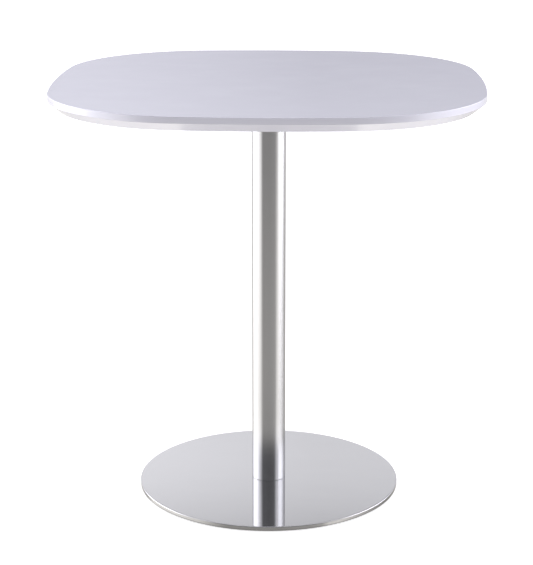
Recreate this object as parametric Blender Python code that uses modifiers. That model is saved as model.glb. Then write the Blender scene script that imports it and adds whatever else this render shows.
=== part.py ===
"""A bistro table: a soft-square lacquered top on a round steel column and a flat round base.

Metres, +Z up. The origin is on the floor, on the column's axis, and -Y is the table's front.
Heights named ..._Z are measured from the floor.
"""

import math

import bmesh
import bpy

# Driving dimensions
TABLE_HEIGHT = 0.750
GAP = 0.0003  # between pieces that touch

TOP_HALF_WIDTH = 0.374
TOP_SIDE_RADIUS = 1.52  # each side is a shallow arc
TOP_CORNER_RADIUS = 0.254
TOP_BAND_HEIGHT = 0.011  # upright edge band
TOP_BEVEL_HEIGHT = 0.014  # sloping edge below the band
TOP_BEVEL_INSET = 0.017

COLUMN_RADIUS = 0.0305
COLUMN_WALL = 0.0015
PLUG_HEIGHT = 0.014

BASE_RADIUS = 0.2375
BASE_TOP_Z = 0.010
COVER_WALL = 0.0012
COVER_RIM = 0.0078
COVER_EDGE_RADIUS = 0.0015
COVER_HOLE_RADIUS = 0.026
BALLAST_HEIGHT = 0.006
GASKET_HEIGHT = 0.001  # inside the column, under the shoulder of its lower plug

PLATE_HALF_WIDTH = 0.140
PLATE_CORNER_RADIUS = 0.030
PLATE_HEIGHT = 0.005

M8_RADIUS = 0.004
M8_HEAD_RADIUS = 0.008
M8_HEAD_RIM = 0.0004  # upright edge of the countersunk head
M8_SCREW_CIRCLE = 0.016  # radius of each ring of screws into a column plug
BASE_SCREW_LENGTH = 0.020
UPPER_SCREW_LENGTH = 0.016

M6_RADIUS = 0.003
M6_SCREW_REACH = 0.120  # X and Y of the screws that hold the top
M6_SCREW_LENGTH = 0.020
M6_HEAD_RADIUS = 0.0052
M6_HEAD_HEIGHT = 0.0045
WASHER_RADIUS = 0.0075
WASHER_HEIGHT = 0.0016
INSERT_RADIUS = 0.005
INSERT_LENGTH = 0.013

HEX_SOCKET_LARGE = 0.0029  # corner radius, in the M8 screws
HEX_SOCKET_SMALL = 0.0023  # in the M6 screws and the studs
SCREW_SOCKET_DEPTH = 0.0025
STUD_SOCKET_DEPTH = 0.0035
HOLE_RUNOUT = 0.005  # how far a cutter passes the face that it opens

FOOT_CIRCLE = 0.200  # radius of the ring of feet
PAD_RADIUS = 0.014
PAD_HEIGHT = 0.0022
PAD_HOLE_RADIUS = 0.0045
PAD_FLOOR = 0.0007  # below the groove that holds the stud's flange
PAD_LIP = 0.0003  # above that groove
PAD_LIP_RADIUS = 0.0055
PAD_CHAMFER = 0.0006
STUD_FLANGE_RADIUS = 0.0078
STUD_FLANGE_HEIGHT = 0.0006
STUD_TOP_Z = 0.0080

SIDE_ARC_STEPS = 8
CORNER_ARC_STEPS = 14
PLATE_CORNER_STEPS = 6
LARGE_ROUND = 96
MEDIUM_ROUND = 48
SMALL_ROUND = 16
PAD_ROUND = 24
EDGE_ARC_STEPS = 4
SHARP_ANGLE = math.radians(30)
LEVEL = 0.999  # a face whose normal is this close to vertical is shaded flat

# Heights that follow from them
TOP_UNDERSIDE_Z = TABLE_HEIGHT - TOP_BAND_HEIGHT - TOP_BEVEL_HEIGHT
PLATE_TOP_Z = TOP_UNDERSIDE_Z - GAP
PLATE_BOTTOM_Z = PLATE_TOP_Z - PLATE_HEIGHT
COLUMN_TOP_Z = PLATE_BOTTOM_Z - GAP
COVER_UNDERSIDE_Z = BASE_TOP_Z - COVER_WALL
BALLAST_TOP_Z = COVER_UNDERSIDE_Z - GAP
BALLAST_BOTTOM_Z = BALLAST_TOP_Z - BALLAST_HEIGHT
COLUMN_BOTTOM_Z = BASE_TOP_Z + GAP
GASKET_BOTTOM_Z = BASE_TOP_Z + GAP
PLUG_SHOULDER_Z = GASKET_BOTTOM_Z + GASKET_HEIGHT + GAP
PLUG_RADIUS = COLUMN_RADIUS - COLUMN_WALL - GAP

WHITE_LACQUER = ("white_lacquer", (0.86, 0.86, 0.88), 0.0, 0.12)
BRUSHED_STEEL = ("brushed_steel", (0.62, 0.62, 0.64), 1.0, 0.28)
BALLAST_PAINT = ("ballast_paint", (0.05, 0.05, 0.055), 0.0, 0.55)
BLACK_PAINT = ("black_paint", (0.03, 0.03, 0.032), 0.0, 0.45)
PLAIN_STEEL = ("plain_steel", (0.50, 0.50, 0.50), 1.0, 0.40)
ZINC_STEEL = ("zinc_steel", (0.68, 0.69, 0.70), 1.0, 0.32)
BRASS = ("brass", (0.75, 0.58, 0.30), 1.0, 0.30)
BLACK_RUBBER = ("black_rubber", (0.02, 0.02, 0.02), 0.0, 0.70)
BLACK_NYLON = ("black_nylon", (0.035, 0.035, 0.037), 0.0, 0.50)


def clear_scene():
    for obj in list(bpy.data.objects):
        bpy.data.objects.remove(obj, do_unlink=True)


def new_collection(name):
    collection = bpy.data.collections.new(name)
    bpy.context.scene.collection.children.link(collection)
    return collection


def material_of(finish):
    name, colour, metallic, roughness = finish
    material = bpy.data.materials.get(name)
    if material is None:
        material = bpy.data.materials.new(name)
        material.use_nodes = True
        shader = material.node_tree.nodes["Principled BSDF"]
        shader.inputs["Base Color"].default_value = (*colour, 1.0)
        shader.inputs["Metallic"].default_value = metallic
        shader.inputs["Roughness"].default_value = roughness
    return material


def add_piece(name, mesh, finish, location=(0, 0, 0), parent=None):
    """One named sub-part, with its material on the mesh."""
    piece = bpy.data.objects.new(name, mesh)
    if not mesh.materials:
        mesh.materials.append(material_of(finish))
    piece.location = location
    piece.parent = parent
    PARTS.objects.link(piece)
    return piece


def add_cutter(name, mesh, location=(0, 0, 0)):
    """A hidden shape that a Boolean takes away."""
    cutter = bpy.data.objects.new(name, mesh)
    cutter.location = location
    cutter.hide_render = True
    cutter.display_type = "WIRE"
    CUTTERS.objects.link(cutter)
    return cutter


def cut(piece, cutter):
    """Take the cutter out of the piece with a Boolean that stays live."""
    boolean = piece.modifiers.new(cutter.name, "BOOLEAN")
    boolean.operation = "DIFFERENCE"
    boolean.solver = "EXACT"
    boolean.object = cutter


def baked_mesh(name, obj):
    """The object's mesh with its modifiers applied, ready to be shared by several pieces."""
    bpy.context.view_layer.update()
    graph = bpy.context.evaluated_depsgraph_get()
    mesh = bpy.data.meshes.new_from_object(obj.evaluated_get(graph))
    mesh.name = name
    return mesh


def shade_round(mesh):
    """Smooth round walls, with flat ends and crisp edges."""
    mesh.shade_smooth()
    mesh.set_sharp_from_angle(angle=SHARP_ANGLE)
    for polygon in mesh.polygons:
        polygon.use_smooth = abs(polygon.normal.z) < LEVEL


def turned_mesh(name, profile, steps):
    """A profile of (radius, height) points turned about Z. It runs down its outer side.

    A profile that starts on the axis also ends there. Any other is closed into a ring.
    """
    count = len(profile)
    edges = [(index, index + 1) for index in range(count - 1)]
    if profile[0][0] > 0:
        edges.append((count - 1, 0))
    outline = bpy.data.meshes.new(name + "_profile")
    outline.from_pydata([(radius, 0, height) for radius, height in profile], edges, [])
    holder = bpy.data.objects.new(name + "_profile", outline)
    CUTTERS.objects.link(holder)
    screw = holder.modifiers.new("Turn", "SCREW")
    screw.steps = steps
    screw.render_steps = steps
    screw.use_merge_vertices = True
    screw.merge_threshold = 0.00001
    mesh = baked_mesh(name, holder)
    bpy.data.objects.remove(holder, do_unlink=True)
    bpy.data.meshes.remove(outline)
    shade_round(mesh)
    return mesh


def cylinder_mesh(name, radius, bottom, top, steps):
    return turned_mesh(name, [(0, top), (radius, top), (radius, bottom), (0, bottom)], steps)


def ring_profile(inner, outer, bottom, top):
    return [(inner, top), (outer, top), (outer, bottom), (inner, bottom)]


def arc(centre_x, centre_y, radius, start, end, steps):
    """Points of an arc, leaving out its last one, where the next arc starts."""
    points = []
    for index in range(steps):
        angle = start + (end - start) * index / steps
        points.append((centre_x + radius * math.cos(angle), centre_y + radius * math.sin(angle)))
    return points


def four_times(quarter):
    """A quarter of an outline, repeated at each 90 degrees."""
    points = list(quarter)
    for _ in range(3):
        quarter = [(-y, x) for x, y in quarter]
        points += quarter
    return points


def top_outline():
    """The soft square: four side arcs and four corner arcs, tangent where they meet.

    The side arc's centre is back along X, and the corner arc's is on the diagonal, at the place
    that puts it inside the side arc's circle and touching it.
    """
    back = TOP_SIDE_RADIUS - TOP_HALF_WIDTH
    reach = TOP_SIDE_RADIUS - TOP_CORNER_RADIUS
    diagonal = (math.sqrt(2 * reach**2 - back**2) - back) / 2
    meeting = math.atan2(diagonal, diagonal + back)
    side = arc(-back, 0, TOP_SIDE_RADIUS, -meeting, meeting, SIDE_ARC_STEPS)
    corner_end = math.pi / 2 - meeting
    corner = arc(diagonal, diagonal, TOP_CORNER_RADIUS, meeting, corner_end, CORNER_ARC_STEPS)
    return four_times(side + corner)


def plate_outline():
    centre = PLATE_HALF_WIDTH - PLATE_CORNER_RADIUS
    corner = arc(centre, centre, PLATE_CORNER_RADIUS, 0, math.pi / 2, PLATE_CORNER_STEPS)
    corner.append((centre, PLATE_HALF_WIDTH))
    return four_times(corner)


def slab(outline, bottom, top):
    """A bmesh prism on the outline, and its bottom face."""
    bm = bmesh.new()
    upper = bm.faces.new([bm.verts.new((x, y, top)) for x, y in outline])
    extruded = bmesh.ops.extrude_face_region(bm, geom=[upper])["geom"]
    lowered = [item for item in extruded if isinstance(item, bmesh.types.BMVert)]
    bmesh.ops.translate(bm, verts=lowered, vec=(0, 0, bottom - top))
    bmesh.ops.recalc_face_normals(bm, faces=bm.faces)
    lower = next(item for item in extruded if isinstance(item, bmesh.types.BMFace))
    return bm, lower


def mesh_of(bm, name):
    mesh = bpy.data.meshes.new(name)
    bm.to_mesh(mesh)
    bm.free()
    shade_round(mesh)
    return mesh


def square_places(reach):
    """Four places at the corners of a square, counter-clockwise from the back right."""
    return [(reach, reach), (-reach, reach), (-reach, -reach), (reach, -reach)]


def circle_places(radius):
    return square_places(radius / math.sqrt(2))


def make_copies(name, mesh, finish, places, z):
    """The same piece at each place, numbered from 1."""
    for number, (x, y) in enumerate(places, 1):
        add_piece(f"{name}_{number}", mesh, finish, (x, y, z))


def cut_holes(piece, name, mesh, places, z):
    """The same hole at each place, numbered from 1."""
    for number, (x, y) in enumerate(places, 1):
        cut(piece, add_cutter(f"{name}_{number}", mesh, (x, y, z)))


def with_hex_socket(name, mesh, corner_radius, bottom, top):
    """The turned piece with a hexagonal socket cut along its axis."""
    bm = bmesh.new()
    bmesh.ops.create_cone(
        bm, cap_ends=True, segments=6, radius1=corner_radius, radius2=corner_radius, depth=top - bottom
    )
    bmesh.ops.translate(bm, verts=bm.verts, vec=(0, 0, (top + bottom) / 2))
    socket_mesh = bpy.data.meshes.new(name + "_socket")
    bm.to_mesh(socket_mesh)
    bm.free()
    socket = add_cutter(name + "_socket", socket_mesh)
    blank = bpy.data.objects.new(name, mesh)
    CUTTERS.objects.link(blank)
    cut(blank, socket)
    result = baked_mesh(name, blank)
    bpy.data.objects.remove(blank, do_unlink=True)
    bpy.data.objects.remove(socket, do_unlink=True)
    return result


def countersunk_profile(length, clearance):
    """An M8 countersunk screw, head down, with its head's face at height 0."""
    head = M8_HEAD_RADIUS + clearance
    shank = M8_RADIUS + clearance
    cone_end = M8_HEAD_RIM + head - shank
    return [(0, length), (shank, length), (shank, cone_end), (head, M8_HEAD_RIM), (head, 0), (0, 0)]


def countersunk_hole(name, length):
    """The screw's own shape, larger all round and run out past the head's face."""
    profile = countersunk_profile(length, 1.5 * GAP)
    profile[-2] = (profile[-2][0], -HOLE_RUNOUT)
    profile[-1] = (0, -HOLE_RUNOUT)
    return turned_mesh(name, profile, SMALL_ROUND)


def countersunk_screw(name, length):
    blank = turned_mesh(name, countersunk_profile(length, 0), SMALL_ROUND)
    return with_hex_socket(name, blank, HEX_SOCKET_LARGE, -HOLE_RUNOUT, SCREW_SOCKET_DEPTH)


def turned_over(name, mesh):
    """A copy of the mesh rotated half a turn about X, so what pointed up points down."""
    copy = mesh.copy()
    copy.name = name
    bm = bmesh.new()
    bm.from_mesh(copy)
    for vert in bm.verts:
        vert.co.y = -vert.co.y
        vert.co.z = -vert.co.z
    bm.to_mesh(copy)
    bm.free()
    return copy


def make_tabletop():
    band_bottom = TABLE_HEIGHT - TOP_BAND_HEIGHT
    bm, lower = slab(top_outline(), band_bottom, TABLE_HEIGHT)
    bmesh.ops.inset_individual(
        bm, faces=[lower], thickness=TOP_BEVEL_INSET, depth=TOP_BEVEL_HEIGHT, use_even_offset=True
    )
    top = add_piece("tabletop", mesh_of(bm, "tabletop"), WHITE_LACQUER)
    depth = INSERT_LENGTH + 3 * GAP
    hole = cylinder_mesh("insert_hole", INSERT_RADIUS + GAP, -HOLE_RUNOUT, depth, SMALL_ROUND)
    cut_holes(top, "insert_hole", hole, square_places(M6_SCREW_REACH), TOP_UNDERSIDE_Z)


def make_top_fasteners():
    places = square_places(M6_SCREW_REACH)
    bore = M6_RADIUS + GAP
    insert = turned_mesh("insert", ring_profile(bore, INSERT_RADIUS, 0, INSERT_LENGTH), SMALL_ROUND)
    make_copies("tabletop_insert", insert, BRASS, places, TOP_UNDERSIDE_Z + GAP)

    washer_bottom = PLATE_BOTTOM_Z - GAP - WASHER_HEIGHT
    washer = turned_mesh("washer", ring_profile(bore, WASHER_RADIUS, 0, WASHER_HEIGHT), SMALL_ROUND)
    make_copies("tabletop_washer", washer, ZINC_STEEL, places, washer_bottom)

    crown = 0.0008  # the head's edge drops this far to its rounded shoulder
    profile = [
        (0, M6_SCREW_LENGTH),
        (M6_RADIUS, M6_SCREW_LENGTH),
        (M6_RADIUS, 0),
        (M6_HEAD_RADIUS, 0),
        (M6_HEAD_RADIUS, crown - M6_HEAD_HEIGHT),
        (M6_HEAD_RADIUS - crown, -M6_HEAD_HEIGHT),
        (0, -M6_HEAD_HEIGHT),
    ]
    blank = turned_mesh("tabletop_screw", profile, SMALL_ROUND)
    socket_bottom = -M6_HEAD_HEIGHT - HOLE_RUNOUT
    socket_top = SCREW_SOCKET_DEPTH - M6_HEAD_HEIGHT
    screw = with_hex_socket("tabletop_screw", blank, HEX_SOCKET_SMALL, socket_bottom, socket_top)
    make_copies("tabletop_screw", screw, ZINC_STEEL, places, washer_bottom - GAP)


def make_mounting_plate():
    bm, _ = slab(plate_outline(), PLATE_BOTTOM_Z, PLATE_TOP_Z)
    plate = add_piece("mounting_plate", mesh_of(bm, "mounting_plate"), BLACK_PAINT)
    bore = M6_RADIUS + 2 * GAP
    clearance = cylinder_mesh("plate_hole", bore, -HOLE_RUNOUT, PLATE_HEIGHT + HOLE_RUNOUT, SMALL_ROUND)
    cut_holes(plate, "plate_hole", clearance, square_places(M6_SCREW_REACH), PLATE_BOTTOM_Z)
    countersink = turned_over("plate_countersink", countersunk_hole("countersink", UPPER_SCREW_LENGTH))
    head_z = PLATE_TOP_Z - GAP
    cut_holes(plate, "plate_countersink", countersink, circle_places(M8_SCREW_CIRCLE), head_z)


def make_column():
    inner = COLUMN_RADIUS - COLUMN_WALL
    profile = ring_profile(inner, COLUMN_RADIUS, COLUMN_BOTTOM_Z, COLUMN_TOP_Z)
    add_piece("column_tube", turned_mesh("column_tube", profile, MEDIUM_ROUND), BRUSHED_STEEL)

    gasket_top = GASKET_BOTTOM_Z + GASKET_HEIGHT
    profile = ring_profile(COVER_HOLE_RADIUS, PLUG_RADIUS, GASKET_BOTTOM_Z, gasket_top)
    gasket = turned_mesh("column_seat_gasket", profile, MEDIUM_ROUND)
    add_piece("column_seat_gasket", gasket, BLACK_RUBBER)

    spigot = COVER_HOLE_RADIUS - 2 * GAP
    plug_top = PLUG_SHOULDER_Z + PLUG_HEIGHT
    profile = [
        (0, plug_top),
        (PLUG_RADIUS, plug_top),
        (PLUG_RADIUS, PLUG_SHOULDER_Z),
        (spigot, PLUG_SHOULDER_Z),
        (spigot, COVER_UNDERSIDE_Z),
        (0, COVER_UNDERSIDE_Z),
    ]
    lower = turned_mesh("column_lower_plug", profile, MEDIUM_ROUND)
    lower_plug = add_piece("column_lower_plug", lower, PLAIN_STEEL)

    plug_bottom = COLUMN_TOP_Z - PLUG_HEIGHT
    upper = cylinder_mesh("column_upper_plug", PLUG_RADIUS, plug_bottom, COLUMN_TOP_Z, MEDIUM_ROUND)
    upper_plug = add_piece("column_upper_plug", upper, PLAIN_STEEL)

    hole_top = PLUG_HEIGHT + 2 * HOLE_RUNOUT
    tapped = cylinder_mesh("tapped_hole", M8_RADIUS + GAP, -HOLE_RUNOUT, hole_top, SMALL_ROUND)
    places = circle_places(M8_SCREW_CIRCLE)
    cut_holes(lower_plug, "lower_tapped_hole", tapped, places, COVER_UNDERSIDE_Z)
    cut_holes(upper_plug, "upper_tapped_hole", tapped, places, plug_bottom)


def make_plug_screws():
    places = circle_places(M8_SCREW_CIRCLE)
    base_screw = countersunk_screw("base_screw", BASE_SCREW_LENGTH)
    make_copies("base_screw", base_screw, ZINC_STEEL, places, BALLAST_BOTTOM_Z + GAP)
    upper_screw = turned_over("upper_screw", countersunk_screw("upright", UPPER_SCREW_LENGTH))
    make_copies("upper_screw", upper_screw, ZINC_STEEL, places, PLATE_TOP_Z - GAP)


def make_base():
    rim_bottom = BASE_TOP_Z - COVER_RIM
    turn = BASE_RADIUS - COVER_EDGE_RADIUS
    inner_rim = BASE_RADIUS - COVER_WALL
    centre_z = BASE_TOP_Z - COVER_EDGE_RADIUS
    outer_edge = arc(turn, centre_z, COVER_EDGE_RADIUS, math.pi / 2, 0, EDGE_ARC_STEPS)
    profile = [(COVER_HOLE_RADIUS, BASE_TOP_Z), *outer_edge]
    profile += [(BASE_RADIUS, centre_z), (BASE_RADIUS, rim_bottom), (inner_rim, rim_bottom)]
    profile += [(inner_rim, COVER_UNDERSIDE_Z), (COVER_HOLE_RADIUS, COVER_UNDERSIDE_Z)]
    add_piece("base_cover", turned_mesh("base_cover", profile, LARGE_ROUND), BRUSHED_STEEL)

    ballast_radius = inner_rim - GAP
    disc = cylinder_mesh("ballast_plate", ballast_radius, BALLAST_BOTTOM_Z, BALLAST_TOP_Z, LARGE_ROUND)
    ballast = add_piece("ballast_plate", disc, BALLAST_PAINT)
    head_z = BALLAST_BOTTOM_Z + GAP
    countersink = countersunk_hole("ballast_countersink", BASE_SCREW_LENGTH)
    cut_holes(ballast, "ballast_countersink", countersink, circle_places(M8_SCREW_CIRCLE), head_z)
    hole_top = BALLAST_HEIGHT + HOLE_RUNOUT
    tapped = cylinder_mesh("foot_hole", M8_RADIUS + GAP, -HOLE_RUNOUT, hole_top, SMALL_ROUND)
    cut_holes(ballast, "foot_hole", tapped, circle_places(FOOT_CIRCLE), BALLAST_BOTTOM_Z)


def make_feet():
    """Pads that slide up and down under the ballast plate, each with a stud that turns in it."""
    groove_top = PAD_HEIGHT - PAD_LIP
    groove_radius = STUD_FLANGE_RADIUS + GAP
    pad_profile = [
        (PAD_LIP_RADIUS, PAD_HEIGHT),
        (PAD_RADIUS - PAD_CHAMFER, PAD_HEIGHT),
        (PAD_RADIUS, PAD_HEIGHT - PAD_CHAMFER),
        (PAD_RADIUS, PAD_CHAMFER),
        (PAD_RADIUS - PAD_CHAMFER, 0),
        (PAD_HOLE_RADIUS, 0),
        (PAD_HOLE_RADIUS, PAD_FLOOR),
        (groove_radius, PAD_FLOOR),
        (groove_radius, groove_top),
        (PAD_LIP_RADIUS, groove_top),
    ]
    pad = turned_mesh("foot_pad", pad_profile, PAD_ROUND)

    flange_bottom = PAD_FLOOR + GAP
    flange_top = flange_bottom + STUD_FLANGE_HEIGHT
    tip = 0.0006  # chamfer on the stud's end
    stud_profile = [
        (0, STUD_TOP_Z),
        (M8_RADIUS - tip, STUD_TOP_Z),
        (M8_RADIUS, STUD_TOP_Z - tip),
        (M8_RADIUS, flange_top),
        (STUD_FLANGE_RADIUS, flange_top),
        (STUD_FLANGE_RADIUS, flange_bottom),
        (0, flange_bottom),
    ]
    blank = turned_mesh("foot_stud", stud_profile, SMALL_ROUND)
    socket_top = flange_bottom + STUD_SOCKET_DEPTH
    stud = with_hex_socket("foot_stud", blank, HEX_SOCKET_SMALL, flange_bottom - HOLE_RUNOUT, socket_top)

    for number, (x, y) in enumerate(circle_places(FOOT_CIRCLE), 1):
        axis = bpy.data.objects.new(f"foot_{number}_axis", None)
        axis.location = (x, y, 0)
        PARTS.objects.link(axis)
        add_piece(f"foot_pad_{number}", pad, BLACK_NYLON, parent=axis)
        add_piece(f"foot_stud_{number}", stud, ZINC_STEEL, parent=axis)


clear_scene()
PARTS = new_collection("bistro_table")
CUTTERS = new_collection("cutters")
make_tabletop()
make_top_fasteners()
make_mounting_plate()
make_column()
make_plug_screws()
make_base()
make_feet()
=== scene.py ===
"""The looks of the bistro table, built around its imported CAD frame.

Metres, +Z up, -Y is the table's front. Every visible CAD node is replaced by a finer piece that
stands in the same place.
"""

import math

import bmesh
import bpy
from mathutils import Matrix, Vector


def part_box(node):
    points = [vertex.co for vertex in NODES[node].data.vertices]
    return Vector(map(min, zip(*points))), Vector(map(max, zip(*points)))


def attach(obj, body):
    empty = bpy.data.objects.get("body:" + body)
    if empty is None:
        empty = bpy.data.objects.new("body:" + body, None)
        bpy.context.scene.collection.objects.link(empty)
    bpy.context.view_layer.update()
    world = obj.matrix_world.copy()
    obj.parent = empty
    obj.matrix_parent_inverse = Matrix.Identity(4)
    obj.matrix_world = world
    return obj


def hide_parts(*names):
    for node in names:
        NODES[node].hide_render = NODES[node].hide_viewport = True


# The top's outline and edge, as in the CAD
TOP_SIDE_RADIUS = 1.52
TOP_CORNER_RADIUS = 0.254
TOP_BAND_HEIGHT = 0.011
TOP_BEVEL_INSET = 0.017
TOP_EDGE_ROUND = 0.0009  # upper edge of the band
TOP_ARRIS_ROUND = 0.0007  # where the band meets the bevel, and the bevel the underside

# The column and the base cover
COLUMN_WALL = 0.0015
COVER_WALL = 0.0012
COVER_EDGE_ROUND = 0.0015
COVER_HEM_ROUND = 0.0004
COVER_HEM_HEIGHT = 0.0022
RIM_PAINTED_SHADE = 0.74  # how bright the base's rim is beside its face: painted shade, standing in for the dark floor the rim reflects
HEM_PAINTED_SHADOW = 0.55  # and its lowest edge beside the rim: a painted shadow for the dark gap under the base
STEEL = (0.62, 0.62, 0.63)
LINE_TONE = 0.94  # how bright the dark brush lines are beside the rest
LINE_ROUGHNESS = 0.03  # how far the lines' roughness strays

# The mounting plate and the small parts, on the CAD's radii
CLEARANCE = 0.0003  # round what stands in a hole
TURNED_EDGE = 0.0003  # rounding on the tube, the plugs and the ballast plate
SOFT_EDGE = 0.0002  # and on screws, washers, inserts and studs
PLATE_EDGE = 0.0004
PLATE_CORNER_RADIUS = 0.030
M8_RADIUS = 0.004
M8_PITCH = 0.00125
M8_HEAD_RIM = 0.0004  # the straight wall of a countersunk head, beside its cone
M6_RADIUS = 0.003
M6_PITCH = 0.001
M6_HEAD_HEIGHT = 0.0045
M6_CROWN = 0.0008  # the rounding of a head's outer end
M6_BORE = 0.0033  # through a washer or an insert
THREAD_DEPTH = 0.48  # in pitches
LARGE_SOCKET = 0.0029  # from the middle of a hexagonal socket to its corners
SMALL_SOCKET = 0.0023
SCREW_SOCKET_DEPTH = 0.0025
STUD_SOCKET_DEPTH = 0.0035
STUD_FLANGE_HEIGHT = 0.0006
INSERT_GROOVE = (4 / 9, 7 / 15, 3 / 5, 19 / 30)  # its two sloping sides, in lengths of the insert
KNURL_RIDGES = 24
KNURL_DEPTH = 0.0003

# The feet's pads
PAD_EDGE = 0.0006
PAD_HOLE_RADIUS = 0.0045  # in its underside, below the stud's socket
PAD_FLOOR = 0.0007  # what the stud's flange stands on
PAD_LIP = 0.0003  # what keeps the flange in
PAD_LIP_RADIUS = 0.0055
PAD_GROOVE_RADIUS = 0.0081
PAD_NOTCHES = 24
PAD_NOTCH_DEPTH = 0.0006

# How many of each small part there are, each a CAD node named with its number
NUMBERS = (1, 2, 3, 4)

# Steps along an arc
TOP_SIDE_STEPS = 24
CORNER_STEPS = 40
TOP_EDGE_STEPS = 6
TOP_ARRIS_STEPS = 4
PLATE_EDGE_STEPS = 4
ROUND_EDGE_STEPS = 8
CROWN_STEPS = 5
SOFT_EDGE_STEPS = 3

# Steps round a turned piece
COLUMN_STEPS = 192
GASKET_STEPS = 128
COVER_STEPS = 256
WASHER_STEPS = 72
DRILL_STEPS = 48
SCREW_STEPS = 36  # a multiple of 6, for the socket
STEPS_PER_RIDGE = 4  # of a knurl
STEPS_PER_NOTCH = 8  # of a pad
THREAD_RINGS = 6  # to one turn of a thread

# Angles between faces, in degrees
SMOOTH_ANGLE = 35  # shaded smooth up to this
TOP_SMOOTH_ANGLE = 60
FLAT_ANGLE = 1  # taken as one flat face up to this
CRISP_ANGLE = 40  # an edge to soften beyond this

# What counts as a wall, by its normal's Z, and as one vertex
WALL_LIMIT = 0.7
MERGE_DISTANCE = 0.000001

# The camera, fitted to the object's outlines, with its angles in radians
CAMERA_DISTANCE = 2.967
CAMERA_HEIGHT = 1.2145
CAMERA_AZIMUTH = 0.030
CAMERA_PITCH = 0.2734
CAMERA_PAN = 0.0014
CAMERA_LENS_MM = 108.8
CAMERA_REACH = 60

# The floor and backdrop, which only the camera sees
STAGE_RADIUS = 14.0
FLOOR_STEPS = 96
FLOOR_TONE = 0.80
FLOOR_OWN_LIGHT = 0.70
BACKDROP_LIGHT = 1.1

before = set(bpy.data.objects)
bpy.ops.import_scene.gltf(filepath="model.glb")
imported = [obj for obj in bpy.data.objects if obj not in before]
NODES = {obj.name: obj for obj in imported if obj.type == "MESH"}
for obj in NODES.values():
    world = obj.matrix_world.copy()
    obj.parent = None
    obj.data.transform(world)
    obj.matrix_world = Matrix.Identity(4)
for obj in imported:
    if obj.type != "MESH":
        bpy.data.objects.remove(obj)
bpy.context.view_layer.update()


# ---------------------------------------------------------------- mesh helpers


def new_piece(name, bm, smooth_angle=SMOOTH_ANGLE):
    """A mesh object from the bmesh, shaded smooth with crisp edges past the angle."""
    bmesh.ops.recalc_face_normals(bm, faces=bm.faces)
    mesh = bpy.data.meshes.new(name)
    bm.to_mesh(mesh)
    bm.free()
    mesh.shade_smooth()
    mesh.set_sharp_from_angle(angle=math.radians(smooth_angle))
    piece = bpy.data.objects.new(name, mesh)
    bpy.context.scene.collection.objects.link(piece)
    keep_flat(piece)
    return piece


def keep_flat(piece):
    """Shade rounded edges without bending the shading of the flat faces beside them."""
    piece.modifiers.new("Flat faces stay flat", "WEIGHTED_NORMAL").keep_sharp = True


def arc(centre_x, centre_y, radius, start, end, steps):
    """Points of an arc from start to end, in degrees, both ends included."""
    points = []
    for index in range(steps + 1):
        angle = math.radians(start + (end - start) * index / steps)
        points.append((centre_x + radius * math.cos(angle), centre_y + radius * math.sin(angle)))
    return points


def bridge(bm, rings, closed):
    """Quads between neighbouring rings of vertices.

    If closed, the last ring also joins the first. If not, a flat face fills each of the two.
    """
    pairs = list(zip(rings, rings[1:]))
    if closed:
        pairs.append((rings[-1], rings[0]))
    for lower, upper in pairs:
        count = len(lower)
        for index in range(count):
            following = (index + 1) % count
            bm.faces.new((lower[index], lower[following], upper[following], upper[index]))
    if not closed:
        bm.faces.new(rings[0])
        bm.faces.new(rings[-1])


def lathe(name, profile, steps, closed=True, shape=None):
    """A profile of (radius, height) points turned about Z.

    A closed profile makes a ring, and an open one a solid with flat ends.
    shape(angle, radius, height) may move each point, to cut a thread or a knurl.
    """
    bm = bmesh.new()
    rings = []
    for radius, height in profile:
        ring = []
        for index in range(steps):
            angle = 2 * math.pi * index / steps
            r, z = shape(angle, radius, height) if shape else (radius, height)
            ring.append(bm.verts.new((r * math.cos(angle), r * math.sin(angle), z)))
        rings.append(ring)
    bridge(bm, rings, closed)
    return new_piece(name, bm)


def slab(name, outline, edge, smooth_angle=SMOOTH_ANGLE):
    """A flat board that looks the same after a quarter turn.

    edge is its wall as (inset, height) points, and outline(inset) a quarter of its outline there.
    """
    bm = bmesh.new()
    rings = []
    for inset, height in edge:
        quarter = outline(inset)
        ring = []
        for _ in range(4):
            ring += [bm.verts.new((x, y, height)) for x, y in quarter]
            quarter = [(-y, x) for x, y in quarter]
        rings.append(ring)
    bridge(bm, rings, closed=False)
    return new_piece(name, bm, smooth_angle)


def softened(node, piece_name):
    """A copy of a CAD piece with its crisp edges bevelled."""
    bm = bmesh.new()
    bm.from_mesh(NODES[node].data)
    bmesh.ops.remove_doubles(bm, verts=bm.verts, dist=MERGE_DISTANCE)
    flat = math.radians(FLAT_ANGLE)
    bmesh.ops.dissolve_limit(bm, angle_limit=flat, verts=bm.verts, edges=bm.edges)
    limit = math.radians(CRISP_ANGLE)
    crisp = [edge for edge in bm.edges if edge.is_manifold and edge.calc_face_angle() > limit]
    bmesh.ops.bevel(
        bm, geom=crisp, offset=TURNED_EDGE, segments=2, profile=0.5, affect="EDGES", clamp_overlap=True
    )
    return new_piece(piece_name, bm)


def cut_out(piece, cutters):
    """Take the cutters' shapes out of the piece, and remove the cutters."""
    piece.modifiers.clear()
    for cutter in cutters:
        boolean = piece.modifiers.new("Hole", "BOOLEAN")
        boolean.solver = "EXACT"
        boolean.object = cutter
    bpy.context.view_layer.update()
    graph = bpy.context.evaluated_depsgraph_get()
    piece.data = bpy.data.meshes.new_from_object(piece.evaluated_get(graph))
    piece.modifiers.clear()
    keep_flat(piece)
    for cutter in cutters:
        bpy.data.objects.remove(cutter, do_unlink=True)


def lower_corner(radius, bottom, soft=SOFT_EDGE, steps=SOFT_EDGE_STEPS):
    """The rounded lower edge of an outer wall, going up."""
    return arc(radius - soft, bottom + soft, soft, -90, 0, steps)


def upper_corner(radius, top, soft=SOFT_EDGE, steps=SOFT_EDGE_STEPS):
    """The rounded upper edge of an outer wall, going up."""
    return arc(radius - soft, top - soft, soft, 0, 90, steps)


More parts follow.
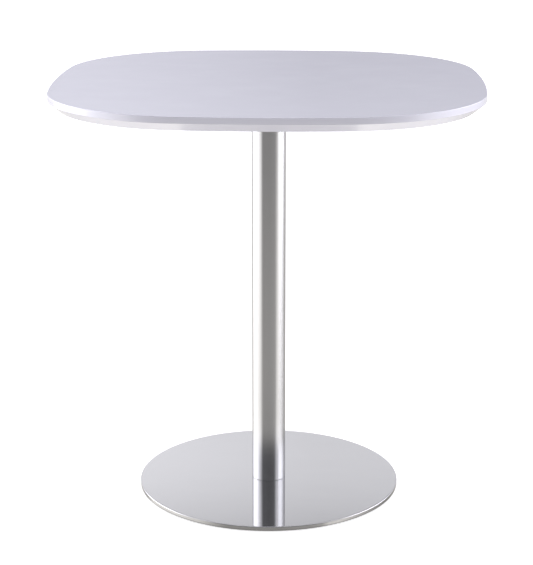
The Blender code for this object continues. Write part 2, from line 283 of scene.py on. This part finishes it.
def blur_map(piece):
    """A UV map whose U runs across the brush lines, the way reflections blur.

    It runs up a wall, and front to back on a flat face.
    """
    mesh = piece.data
    layer = mesh.uv_layers.new(name="blur")
    for polygon in mesh.polygons:
        across = Vector((polygon.normal.y, -polygon.normal.x, 0))
        is_wall = abs(polygon.normal.z) < WALL_LIMIT
        for loop in polygon.loop_indices:
            place = mesh.vertices[mesh.loops[loop].vertex_index].co
            layer.data[loop].uv = (place.z, -across.dot(place)) if is_wall else (place.y, -place.x)


# ---------------------------------------------------------------- CAD nodes


def node_size(node):
    """A turned CAD piece's radius and length."""
    low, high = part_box(node)
    return (high.x - low.x) / 2, high.z - low.z


def node_place(node, at_top):
    """The middle of a CAD piece's top or underside."""
    low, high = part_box(node)
    return (low.x + high.x) / 2, (low.y + high.y) / 2, high.z if at_top else low.z


def bore_radius(node):
    """The radius of the hole round Z in a CAD piece."""
    return min(vert.co.xy.length for vert in NODES[node].data.vertices)


def finish_piece(piece, body, slot, material, *nodes):
    """Give a piece its material and body, and say which CAD nodes it replaces; slot is not used."""
    if not piece.data.materials:
        piece.data.materials.append(material)
    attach(piece, body)
    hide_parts(*nodes)


def set_out(made, group, body, slot, material, head_up=False):
    """Put the piece, and copies of it, in place of the CAD nodes of the group."""
    base_name = made.name
    for number in NUMBERS:
        node = f"{group}_{number}"
        piece = made
        if number > 1:
            piece = bpy.data.objects.new(base_name, made.data)
            bpy.context.scene.collection.objects.link(piece)
            keep_flat(piece)
        piece.name = f"{base_name}_{number}"
        piece.location = node_place(node, head_up)
        if head_up:
            piece.rotation_euler = (math.pi, 0, 0)
        finish_piece(piece, body.format(number), slot, material, node)


def drills(group, profile):
    """A cutter of the profile at each CAD node of the group, with height 0 at the node's top."""
    cutters = []
    for number in NUMBERS:
        cutter = lathe("drill", profile, DRILL_STEPS, closed=False)
        cutter.location = node_place(f"{group}_{number}", True)
        cutters.append(cutter)
    return cutters


# ---------------------------------------------------------------- shader nodes


class Nodes:
    """Short ways to add the nodes of a material or of the world."""

    def __init__(self, tree):
        self.tree = tree

    def node(self, kind, links=(), **settings):
        """A node with its properties set and its inputs linked or given a value."""
        made = self.tree.nodes.new(kind)
        for key, value in settings.items():
            setattr(made, key, value)
        for socket, source in dict(links).items():
            if isinstance(source, bpy.types.NodeSocket):
                self.tree.links.new(source, made.inputs[socket])
            else:
                made.inputs[socket].default_value = source
        return made

    def calculate(self, operation, first, second=0.0):
        return self.node("ShaderNodeMath", {0: first, 1: second}, operation=operation).outputs[0]

    def spread(self, value, low=0.0, high=1.0, start=0.0, end=1.0, curve="LINEAR"):
        """Map a value between start and end to low to high."""
        links = {"Value": value, "From Min": start, "From Max": end, "To Min": low, "To Max": high}
        return self.node("ShaderNodeMapRange", links, interpolation_type=curve).outputs["Result"]

    def mix(self, factor, first, second, data_type="FLOAT"):
        links = {"Factor": factor, "A": first, "B": second}
        return self.node("ShaderNodeMix", links, data_type=data_type).outputs["Result"]

    def blend(self, factor, first, second):
        """A colour between two, each a socket or red, green and blue."""
        colours = []
        for colour in (first, second):
            is_socket = isinstance(colour, bpy.types.NodeSocket)
            colours.append(colour if is_socket else (*colour, 1.0))
        return self.mix(factor, *colours, "RGBA")


class Shader(Nodes):
    """A Principled material."""

    def __init__(self, name, **sockets):
        self.material = bpy.data.materials.new(name)
        self.material.use_nodes = True
        super().__init__(self.material.node_tree)
        self.bsdf = self.tree.nodes["Principled BSDF"]
        for socket, value in sockets.items():
            self.bsdf.inputs[socket.replace("_", " ")].default_value = value

    def link(self, source, socket):
        self.tree.links.new(source, self.bsdf.inputs[socket])

    def place(self):
        return self.node("ShaderNodeTexCoord").outputs["Object"]

    def noise(self, scale, detail=2.0, roughness=0.5):
        """Noise with about scale blotches to a metre. scale is one number, or one for each axis."""
        scales = scale if isinstance(scale, tuple) else (scale, scale, scale)
        stretched = self.node("ShaderNodeMapping", {"Vector": self.place(), "Scale": scales})
        values = {
            "Vector": stretched.outputs["Vector"],
            "Scale": 1.0,
            "Detail": detail,
            "Roughness": roughness,
        }
        return self.node("ShaderNodeTexNoise", values).outputs["Fac"]

    def tint(self, low, high, scale):
        """Let the base colour drift between two tones."""
        self.link(self.blend(self.noise(scale, 3.0), low, high), "Base Color")

    def uneven_roughness(self, scale, low, high, detail=2.0):
        self.link(self.spread(self.noise(scale, detail), low, high), "Roughness")

    def bump(self, height, distance, strength):
        links = {"Height": height, "Distance": distance, "Strength": strength}
        self.link(self.node("ShaderNodeBump", links).outputs["Normal"], "Normal")

    def show(self, surface):
        """Show another shader in place of the Principled one."""
        self.tree.links.new(surface, self.tree.nodes["Material Output"].inputs["Surface"])


# ---------------------------------------------------------------- materials


def white_lacquer():
    """Sprayed gloss lacquer: a faint orange peel and slightly uneven gloss."""
    shader = Shader("white_lacquer", IOR=1.5, Coat_Weight=0.8, Coat_Roughness=0.06)
    shader.tint((0.780, 0.777, 0.872), (0.798, 0.795, 0.888), scale=3)
    shader.uneven_roughness(14, 0.16, 0.24, detail=4.0)
    shader.bump(shader.noise(260), distance=0.00002, strength=0.25)
    return shader.material


def brushed_steel(name, along, roughness):
    """Stainless steel with fine lines. along is the noise scale, small along the lines."""
    shader = Shader(name, Metallic=1.0, Anisotropic=1.0, Anisotropic_Rotation=0.0)
    lines = shader.noise(along, detail=3.0, roughness=0.6)
    dark = tuple(LINE_TONE * channel for channel in STEEL)
    shader.link(shader.blend(lines, dark, STEEL), "Base Color")
    shader.link(
        shader.spread(lines, roughness - LINE_ROUGHNESS, roughness + LINE_ROUGHNESS), "Roughness"
    )
    shader.bump(lines, distance=0.00001, strength=0.3)
    tangent = shader.node("ShaderNodeTangent", direction_type="UV_MAP", uv_map="blur")
    shader.link(tangent.outputs["Tangent"], "Tangent")
    return shader


def column_steel():
    """Brushed steel with its lines round the column."""
    return brushed_steel("column_steel", (6, 6, 2600), roughness=0.17).material


def base_steel():
    """Brushed steel with painted shade: its turned rim is darker than its face, and a painted shadow
    makes it darkest near the floor.
    """
    shader = brushed_steel("base_steel", (6, 2600, 6), roughness=0.085)
    low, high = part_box("base_cover")
    height = shader.node("ShaderNodeSeparateXYZ", {"Vector": shader.place()}).outputs["Z"]
    # painted shade: the rim darker than the face, for the dark floor it reflects
    face = shader.spread(height, RIM_PAINTED_SHADE, 1.0, high.z - COVER_EDGE_ROUND, high.z)
    # painted shadow: the lowest edge darker still, for the shade in the gap under the base
    hem = shader.spread(height, HEM_PAINTED_SHADOW, 1.0, low.z + COVER_HEM_ROUND, low.z + COVER_HEM_HEIGHT)
    tone = shader.calculate("MULTIPLY", face, hem)
    steel = shader.bsdf.inputs["Base Color"].links[0].from_socket
    shaded = shader.node("ShaderNodeVectorMath", {"Vector": steel, "Scale": tone}, operation="SCALE")
    shader.link(shaded.outputs["Vector"], "Base Color")
    return shader.material


def black_rubber():
    shader = Shader("black_rubber")
    shader.tint((0.012, 0.012, 0.013), (0.024, 0.024, 0.025), scale=90)
    shader.uneven_roughness(400, 0.6, 0.8)
    return shader.material


def metal(name, low, high, roughness, grain):
    """Plain or plated steel and brass: mottled tone, uneven polish and a fine grain."""
    shader = Shader(name, Metallic=1.0)
    shader.tint(low, high, scale=60)
    shader.uneven_roughness(180, roughness - 0.08, roughness + 0.08)
    shader.bump(shader.noise(grain, 3.0), distance=0.00003, strength=0.3)
    return shader.material


def paint(name, low, high, roughness):
    """Powder coat or nylon: a fine even texture."""
    shader = Shader(name, IOR=1.5)
    shader.tint(low, high, scale=25)
    shader.uneven_roughness(120, roughness - 0.06, roughness + 0.06)
    shader.bump(shader.noise(900), distance=0.00008, strength=0.5)
    return shader.material


# ---------------------------------------------------------------- pieces


def make_tabletop(lacquer):
    low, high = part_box("tabletop")
    back = TOP_SIDE_RADIUS - high.x  # from the middle of the top to a side arc's centre
    reach = TOP_SIDE_RADIUS - TOP_CORNER_RADIUS
    diagonal = (math.sqrt(2 * reach**2 - back**2) - back) / 2
    meeting = math.degrees(math.atan2(diagonal, diagonal + back))

    def side_and_corner(inset):
        side = arc(-back, 0, TOP_SIDE_RADIUS - inset, -meeting, meeting, TOP_SIDE_STEPS)
        corner_radius = TOP_CORNER_RADIUS - inset
        corner = arc(diagonal, diagonal, corner_radius, meeting, 90 - meeting, CORNER_STEPS)
        return side[:-1] + corner[:-1]

    band_bottom = high.z - TOP_BAND_HEIGHT
    slope = math.degrees(math.atan2(band_bottom - low.z, TOP_BEVEL_INSET))
    edge = arc(TOP_EDGE_ROUND, high.z - TOP_EDGE_ROUND, TOP_EDGE_ROUND, 90, 180, TOP_EDGE_STEPS)
    arris = TOP_ARRIS_ROUND
    turn = math.radians(90 - slope) / 2
    edge += arc(arris, band_bottom + arris * math.tan(turn), arris, 180, 270 - slope, TOP_ARRIS_STEPS)
    foot_x = TOP_BEVEL_INSET + arris * math.tan(math.radians(slope) / 2)
    edge += arc(foot_x, low.z + arris, arris, 270 - slope, 270, TOP_ARRIS_STEPS)
    top = slab("tabletop_lacquered", side_and_corner, edge, TOP_SMOOTH_ANGLE)

    radius, length = node_size("tabletop_insert_1")
    radius += CLEARANCE
    cut_out(top, drills("tabletop_insert", [(radius, -2 * length), (radius, CLEARANCE)]))
    finish_piece(top, "table", "white_lacquer", lacquer, "tabletop")


def make_mounting_plate(black_paint):
    """The plate, with countersunk holes for the screws above and plain ones for those below."""
    low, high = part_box("mounting_plate")
    centre = high.x - PLATE_CORNER_RADIUS

    def corner(inset):
        return arc(centre, centre, PLATE_CORNER_RADIUS - inset, 0, 90, CORNER_STEPS)

    edge = arc(PLATE_EDGE, high.z - PLATE_EDGE, PLATE_EDGE, 90, 180, PLATE_EDGE_STEPS)
    edge += arc(PLATE_EDGE, low.z + PLATE_EDGE, PLATE_EDGE, 180, 270, PLATE_EDGE_STEPS)
    plate = slab("mounting_plate_painted", corner, edge)

    head_radius, length = node_size("upper_screw_1")
    head = head_radius + CLEARANCE
    shank = M8_RADIUS + CLEARANCE
    rim = -M8_HEAD_RIM - CLEARANCE / 2
    countersink = [(shank, -length), (shank, rim + shank - head), (head, rim), (head, length)]
    bore = M6_RADIUS + 2 * CLEARANCE
    _, length = node_size("tabletop_screw_1")
    through = [(bore, -length), (bore, length)]
    cut_out(plate, drills("upper_screw", countersink) + drills("tabletop_screw", through))
    finish_piece(plate, "table", "black_paint", black_paint, "mounting_plate")


def make_column(steel):
    low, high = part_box("column_tube")
    radius = high.x
    inner = radius - COLUMN_WALL
    soft = TURNED_EDGE
    profile = arc(radius - soft, high.z - soft, soft, 90, 0, SOFT_EDGE_STEPS)
    profile += arc(radius - soft, low.z + soft, soft, 0, -90, SOFT_EDGE_STEPS)
    profile += [(inner, low.z), (inner, high.z)]
    tube = lathe("column_tube_brushed", profile, COLUMN_STEPS)
    blur_map(tube)
    finish_piece(tube, "table", "brushed_stainless_column", steel, "column_tube")


def make_gasket(rubber):
    low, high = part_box("column_seat_gasket")
    half = (high.z - low.z) / 2
    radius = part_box("column_lower_plug")[1].x
    bore = bore_radius("column_seat_gasket")
    profile = arc(radius - half, low.z + half, half, 90, -90, ROUND_EDGE_STEPS)
    profile += arc(bore + half, low.z + half, half, 270, 90, ROUND_EDGE_STEPS)
    gasket = lathe("column_seat_gasket_moulded", profile, GASKET_STEPS)
    finish_piece(gasket, "table", "black_rubber", rubber, "column_seat_gasket")


def make_base_cover(steel):
    low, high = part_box("base_cover")
    radius = high.x
    inner = radius - COVER_WALL
    hole = bore_radius("base_cover")
    edge = COVER_EDGE_ROUND
    hem = COVER_HEM_ROUND
    profile = [(hole, high.z)]
    profile += arc(radius - edge, high.z - edge, edge, 90, 0, ROUND_EDGE_STEPS)
    profile += arc(radius - hem, low.z + hem, hem, 0, -90, SOFT_EDGE_STEPS)
    profile += [(inner, low.z), (inner, high.z - COVER_WALL), (hole, high.z - COVER_WALL)]
    cover = lathe("base_cover_brushed", profile, COVER_STEPS)
    blur_map(cover)
    finish_piece(cover, "table", "brushed_stainless_base", steel, "base_cover")


def make_inner_pieces(steel, ballast_paint):
    ballast = softened("ballast_plate", "ballast_plate_painted")
    finish_piece(ballast, "table", "ballast_paint", ballast_paint, "ballast_plate")
    for end in ("upper", "lower"):
        plug = softened(f"column_{end}_plug", f"column_{end}_plug_turned")
        finish_piece(plug, "table", "plain_steel", steel, f"column_{end}_plug")


def hexagon_reach(angle, corner_radius):
    """How far out a hexagon's edge is at the angle."""
    from_flat = angle % (math.pi / 3) - math.pi / 6
    return corner_radius * math.cos(math.pi / 6) / math.cos(from_flat)


def screw(name, head, radius, length, pitch, socket_radius, socket_depth):
    """A right-hand screw, head down at height 0, with a hexagonal socket in its head.

    head is the profile from the socket's rim to where the thread starts.
    """
    start = head[-1][1]
    end = length - pitch / 2
    rings = math.ceil((end - start) / pitch * THREAD_RINGS)
    profile = [(socket_radius, socket_depth), (socket_radius, 0), *head]
    profile += [(radius, start + (end - start) * ring / rings) for ring in range(rings + 1)]
    profile.append((radius - pitch / 2, length))

    def shape(angle, r, z):
        if r <= socket_radius:
            return hexagon_reach(angle, r), z
        run_out = min(z - start, end - z) / pitch
        if r > radius or run_out <= 0:
            return r, z
        turn = (z / pitch - angle / (2 * math.pi)) % 1
        return r - min(run_out, 1) * THREAD_DEPTH * pitch * (1 - abs(2 * turn - 1)), z

    return lathe(name, profile, SCREW_STEPS, closed=False, shape=shape)


def make_countersunk_screws(zinc):
    """The M8 screws into the column's plugs: from above at its top, from below at its foot."""
    for group, head_up in (("base_screw", False), ("upper_screw", True)):
        radius, length = node_size(group + "_1")
        cone_end = M8_HEAD_RIM + radius - M8_RADIUS
        head = lower_corner(radius, 0) + [(radius, M8_HEAD_RIM), (M8_RADIUS, cone_end)]
        made = screw(
            group + "_threaded", head, M8_RADIUS, length, M8_PITCH, LARGE_SOCKET, SCREW_SOCKET_DEPTH
        )
        set_out(made, group, "table", "zinc_steel", zinc, head_up)


def make_tabletop_screws(zinc):
    """The M6 screws and their washers, from the mounting plate into the top."""
    radius, length = node_size("tabletop_screw_1")
    head = lower_corner(radius, 0, M6_CROWN, CROWN_STEPS)
    head += upper_corner(radius, M6_HEAD_HEIGHT) + [(M6_RADIUS, M6_HEAD_HEIGHT)]
    made = screw(
        "tabletop_screw_threaded", head, M6_RADIUS, length, M6_PITCH, SMALL_SOCKET, SCREW_SOCKET_DEPTH
    )
    set_out(made, "tabletop_screw", "table", "zinc_steel", zinc)

    radius, height = node_size("tabletop_washer_1")
    profile = lower_corner(radius, 0) + upper_corner(radius, height) + [(M6_BORE, height), (M6_BORE, 0)]
    washer = lathe("tabletop_washer_stamped", profile, WASHER_STEPS)
    set_out(washer, "tabletop_washer", "table", "zinc_steel", zinc)


def make_inserts(brass):
    """Brass inserts with two knurled bands and a groove between them."""
    radius, length = node_size("tabletop_insert_1")
    groove = radius - 2 * KNURL_DEPTH
    lower_band, groove_start, groove_end, upper_band = (length * share for share in INSERT_GROOVE)
    profile = lower_corner(radius, 0) + upper_corner(radius, lower_band)
    profile += [(groove, groove_start), (groove, groove_end)]
    profile += lower_corner(radius, upper_band) + upper_corner(radius, length)
    profile += [(M6_BORE, length), (M6_BORE, 0)]

    def knurl(angle, r, z):
        if not math.isclose(r, radius):
            return r, z
        return r - KNURL_DEPTH / 2 * (1 - math.cos(KNURL_RIDGES * angle)), z

    insert = lathe("tabletop_insert_knurled", profile, STEPS_PER_RIDGE * KNURL_RIDGES, shape=knurl)
    set_out(insert, "tabletop_insert", "table", "brass_insert", brass)


def make_pads(nylon):
    """Nylon pads with finger notches round them, each hollow for the flange of a stud."""
    radius, height = node_size("foot_pad_1")
    profile = lower_corner(radius, 0, PAD_EDGE, CROWN_STEPS)
    profile += upper_corner(radius, height, PAD_EDGE, CROWN_STEPS)
    profile += [
        (PAD_LIP_RADIUS, height),
        (PAD_LIP_RADIUS, height - PAD_LIP),
        (PAD_GROOVE_RADIUS, height - PAD_LIP),
        (PAD_GROOVE_RADIUS, PAD_FLOOR),
        (PAD_HOLE_RADIUS, PAD_FLOOR),
        (PAD_HOLE_RADIUS, 0),
    ]

    def notched(angle, r, z):
        if r <= radius - 2 * PAD_EDGE:
            return r, z
        return r - PAD_NOTCH_DEPTH * max(0, math.cos(PAD_NOTCHES * angle)) ** 2, z

    pad = lathe("foot_pad_moulded", profile, STEPS_PER_NOTCH * PAD_NOTCHES, shape=notched)
    set_out(pad, "foot_pad", "foot_{}", "black_nylon", nylon)


def make_studs(zinc):
    """Threaded studs, each with a flange that its pad is snapped round."""
    radius, length = node_size("foot_stud_1")
    head = lower_corner(radius, 0) + upper_corner(radius, STUD_FLANGE_HEIGHT)
    head.append((M8_RADIUS, STUD_FLANGE_HEIGHT))
    stud = screw("foot_stud_threaded", head, M8_RADIUS, length, M8_PITCH, SMALL_SOCKET, STUD_SOCKET_DEPTH)
    set_out(stud, "foot_stud", "foot_{}_stud", "zinc_steel", zinc)


# ---------------------------------------------------------------- stage


def stage_piece(name, bm, material):
    """An object that the camera sees and no other ray does, because the world gives the light."""
    mesh = bpy.data.meshes.new(name)
    bm.to_mesh(mesh)
    bm.free()
    mesh.materials.append(material)
    piece = bpy.data.objects.new(name, mesh)
    bpy.context.scene.collection.objects.link(piece)
    for ray in ("diffuse", "glossy", "transmission", "volume_scatter", "shadow"):
        setattr(piece, "visible_" + ray, False)


def stage_floor():
    """A pale matt floor. Its underside lets a camera below see the table."""
    bm = bmesh.new()
    bmesh.ops.create_circle(bm, cap_ends=True, segments=FLOOR_STEPS, radius=STAGE_RADIUS)
    shader = Shader(
        "pale_floor",
        Base_Color=(FLOOR_TONE, FLOOR_TONE, FLOOR_TONE, 1.0),
        Roughness=0.9,
        Emission_Color=(1.0, 1.0, 1.0, 1.0),
        Emission_Strength=FLOOR_OWN_LIGHT,
    )
    behind = shader.node("ShaderNodeNewGeometry").outputs["Backfacing"]
    clear = shader.node("ShaderNodeBsdfTransparent").outputs[0]
    mixed = shader.node("ShaderNodeMixShader", {0: behind, 1: shader.bsdf.outputs[0], 2: clear})
    shader.show(mixed.outputs[0])
    stage_piece("floor", bm, shader.material)


def stage_backdrop():
    """A plain white dome all round."""
    bm = bmesh.new()
    bmesh.ops.create_icosphere(bm, subdivisions=4, radius=STAGE_RADIUS)
    shader = Shader("white_backdrop")
    shader.tree.nodes.remove(shader.bsdf)
    glow = shader.node("ShaderNodeEmission", {"Strength": BACKDROP_LIGHT})
    shader.show(glow.outputs[0])
    stage_piece("backdrop", bm, shader.material)


# The room's brightness. Each ring is at one elevation in degrees, and lists levels by degrees
# round the room, from the camera's side towards +X
LIGHT_RINGS = [
    (-56.0, [
        (-180, 1.70), (-120, 0.80), (-60, 0.45), (-26, 1.70), (26, 1.70), (55, 0.32), (120, 0.70),
        (180, 1.70),
    ]),
    (-30.0, [
        (-180, 0.90), (-130, 0.45), (-110, 0.28), (-60, 0.22), (-38, 0.15), (38, 0.15), (60, 0.22),
        (110, 0.28), (130, 0.45), (180, 0.90),
    ]),
    (-22.0, [
        (-180, 0.80), (-137, 0.75), (-124, 1.70), (-85, 1.90), (-62, 1.62), (-52, 1.22), (-36, 0.72),
        (8, 0.68), (38, 0.80), (50, 0.98), (56, 1.70), (66, 1.75), (80, 1.30), (104, 0.80),
        (130, 0.45), (155, 0.55), (180, 0.80),
    ]),
    (-9.0, [
        (-180, 0.80), (-172, 0.91), (-158, 0.82), (-137, 0.61), (-124, 2.05), (-92, 2.75), (-80, 1.90),
        (-62, 1.90), (-52, 1.50), (-44, 0.55), (-38, 0.27), (8, 0.25), (38, 0.30), (56, 0.50),
        (62, 0.95), (70, 1.60), (95, 1.10), (116, 0.72), (145, 0.62), (165, 0.73), (180, 0.80),
    ]),
    (0.0, [
        (-180, 0.80), (-160, 0.90), (-140, 1.60), (-124, 7.50), (-98, 11.00), (-86, 8.00), (-70, 1.20),
        (-55, 0.35), (-38, 0.08), (38, 0.08), (66, 0.35), (79, 7.50), (96, 12.50), (112, 9.50),
        (126, 3.50), (142, 1.00), (160, 0.80), (180, 0.80),
    ]),
    (8.0, [
        (-180, 0.37), (-172, 0.59), (-160, 0.52), (-140, 2.00), (-124, 5.00), (-96, 6.00), (-80, 3.50),
        (-62, 0.90), (-42, 0.16), (8, 0.12), (42, 0.16), (66, 0.70), (78, 5.00), (110, 6.00),
        (135, 2.20), (158, 0.37), (180, 0.37),
    ]),
    (18.0, [
        (-180, 0.76), (-172, 0.97), (-160, 0.85), (-140, 0.72), (-124, 3.00), (-92, 3.50), (-78, 2.60),
        (-60, 0.50), (-42, 0.16), (8, 0.13), (42, 0.18), (62, 0.50), (72, 2.10), (105, 2.50),
        (130, 1.10), (158, 0.78), (180, 0.76),
    ]),
    (22.5, [
        (-180, 1.34), (-172, 1.57), (-158, 1.32), (-137, 1.30), (-124, 3.10), (-84, 2.80), (-62, 1.95),
        (-54, 1.35), (-41, 0.22), (8, 0.15), (38, 0.22), (50, 0.75), (55, 1.80), (95, 1.78),
        (118, 0.48), (140, 0.35), (165, 1.17), (180, 1.34),
    ]),
    (26.0, [
        (-180, 0.15), (-150, 0.40), (-130, 1.60), (-110, 2.80), (-62, 2.00), (-54, 1.40), (-41, 0.25),
        (8, 0.17), (38, 0.25), (50, 0.75), (55, 1.84), (95, 1.80), (118, 0.50), (150, 0.25),
        (180, 0.15),
    ]),
    (40.0, [
        (-180, 0.15), (-130, 0.50), (-60, 0.60), (-41, 0.20), (8, 0.15), (38, 0.20), (60, 0.60),
        (110, 0.50), (180, 0.15),
    ]),
]
RING_SCALE = 13.0  # above the highest level, because a ramp's colours end at 1
FLOOR_GLOW = 2.3  # the level from straight below up to FLOOR_FULL
FLOOR_FULL = -80.0
CEILING = 1.12  # the level from CEILING_FULL upwards
CEILING_FULL = 60.0

# The light's tint, and the elevations where one tint ends and the next is full
FLOOR_TINT = (1.0, 0.975, 0.93)
HORIZON_TINT = (1.0, 0.995, 1.11)
UPPER_TINT = (1.0, 0.995, 1.035)
FLOOR_TINT_END = -14.0
HORIZON_TINT_START = 2.0
HORIZON_TINT_END = 10.0
UPPER_TINT_START = 20.0


def light_ring(work, place, levels):
    """The level at a place, 0 to 1 round the room, from a list of (degrees, level)."""
    ramp = work.node("ShaderNodeValToRGB", {0: place})
    stops = ramp.color_ramp.elements
    while len(stops) < len(levels):
        stops.new(0.5)
    for stop, (degrees, level) in zip(stops, levels):
        tone = level / RING_SCALE
        stop.position = degrees / 360 + 0.5
        stop.color = (tone, tone, tone, 1.0)
    return work.calculate("MULTIPLY", ramp.outputs[0], RING_SCALE)


def studio_world():
    """Soft studio light: dark behind the camera, bright sides and back, pale floor, dim ceiling."""
    world = bpy.data.worlds.new("studio")
    bpy.context.scene.world = world
    world.use_nodes = True
    work = Nodes(world.node_tree)

    direction = work.node("ShaderNodeTexCoord").outputs["Generated"]
    x, y, z = work.node("ShaderNodeSeparateXYZ", {0: direction}).outputs
    turn = work.calculate("ARCTAN2", x, work.calculate("MULTIPLY", y, -1.0))
    place = work.calculate("ADD", work.calculate("MULTIPLY", turn, 1 / (2 * math.pi)), 0.5)
    elevation = work.calculate("DEGREES", work.calculate("ARCSINE", z))

    light = FLOOR_GLOW
    below = FLOOR_FULL
    for ring_elevation, levels in LIGHT_RINGS:
        rise = work.spread(elevation, start=below, end=ring_elevation)
        light = work.mix(rise, light, light_ring(work, place, levels))
        below = ring_elevation
    rise = work.spread(elevation, start=below, end=CEILING_FULL, curve="SMOOTHSTEP")
    light = work.mix(rise, light, CEILING)

    low = work.spread(elevation, start=FLOOR_TINT_END, end=HORIZON_TINT_START)
    high = work.spread(elevation, start=HORIZON_TINT_END, end=UPPER_TINT_START)
    tint = work.blend(high, work.blend(low, FLOOR_TINT, HORIZON_TINT), UPPER_TINT)

    background = work.tree.nodes["Background"]
    work.tree.links.new(tint, background.inputs["Color"])
    work.tree.links.new(light, background.inputs["Strength"])


def make_camera():
    data = bpy.data.cameras.new("camera")
    data.lens = CAMERA_LENS_MM
    data.clip_end = CAMERA_REACH
    camera = bpy.data.objects.new("camera", data)
    bpy.context.scene.collection.objects.link(camera)
    camera.location = (
        CAMERA_DISTANCE * math.sin(CAMERA_AZIMUTH),
        -CAMERA_DISTANCE * math.cos(CAMERA_AZIMUTH),
        CAMERA_HEIGHT,
    )
    camera.rotation_euler = (math.pi / 2 - CAMERA_PITCH, 0, CAMERA_AZIMUTH + CAMERA_PAN)
    bpy.context.scene.camera = camera


def main():
    bpy.context.scene.view_settings.view_transform = "Standard"
    make_camera()
    studio_world()
    stage_floor()
    stage_backdrop()
    zinc = metal("zinc_steel", (0.60, 0.61, 0.63), (0.70, 0.71, 0.72), roughness=0.32, grain=500)
    plain = metal("plain_steel", (0.42, 0.42, 0.42), (0.54, 0.54, 0.53), roughness=0.38, grain=300)
    brass = metal("brass_insert", (0.68, 0.50, 0.24), (0.80, 0.62, 0.33), roughness=0.30, grain=400)
    black = paint("black_paint", (0.022, 0.022, 0.024), (0.034, 0.034, 0.036), roughness=0.45)
    ballast = paint("ballast_paint", (0.040, 0.040, 0.045), (0.060, 0.060, 0.065), roughness=0.55)
    nylon = paint("black_nylon", (0.028, 0.028, 0.030), (0.040, 0.040, 0.042), roughness=0.50)
    make_tabletop(white_lacquer())
    make_column(column_steel())
    make_gasket(black_rubber())
    make_base_cover(base_steel())
    make_mounting_plate(black)
    make_inner_pieces(plain, ballast)
    make_countersunk_screws(zinc)
    make_tabletop_screws(zinc)
    make_inserts(brass)
    make_pads(nylon)
    make_studs(zinc)


main()
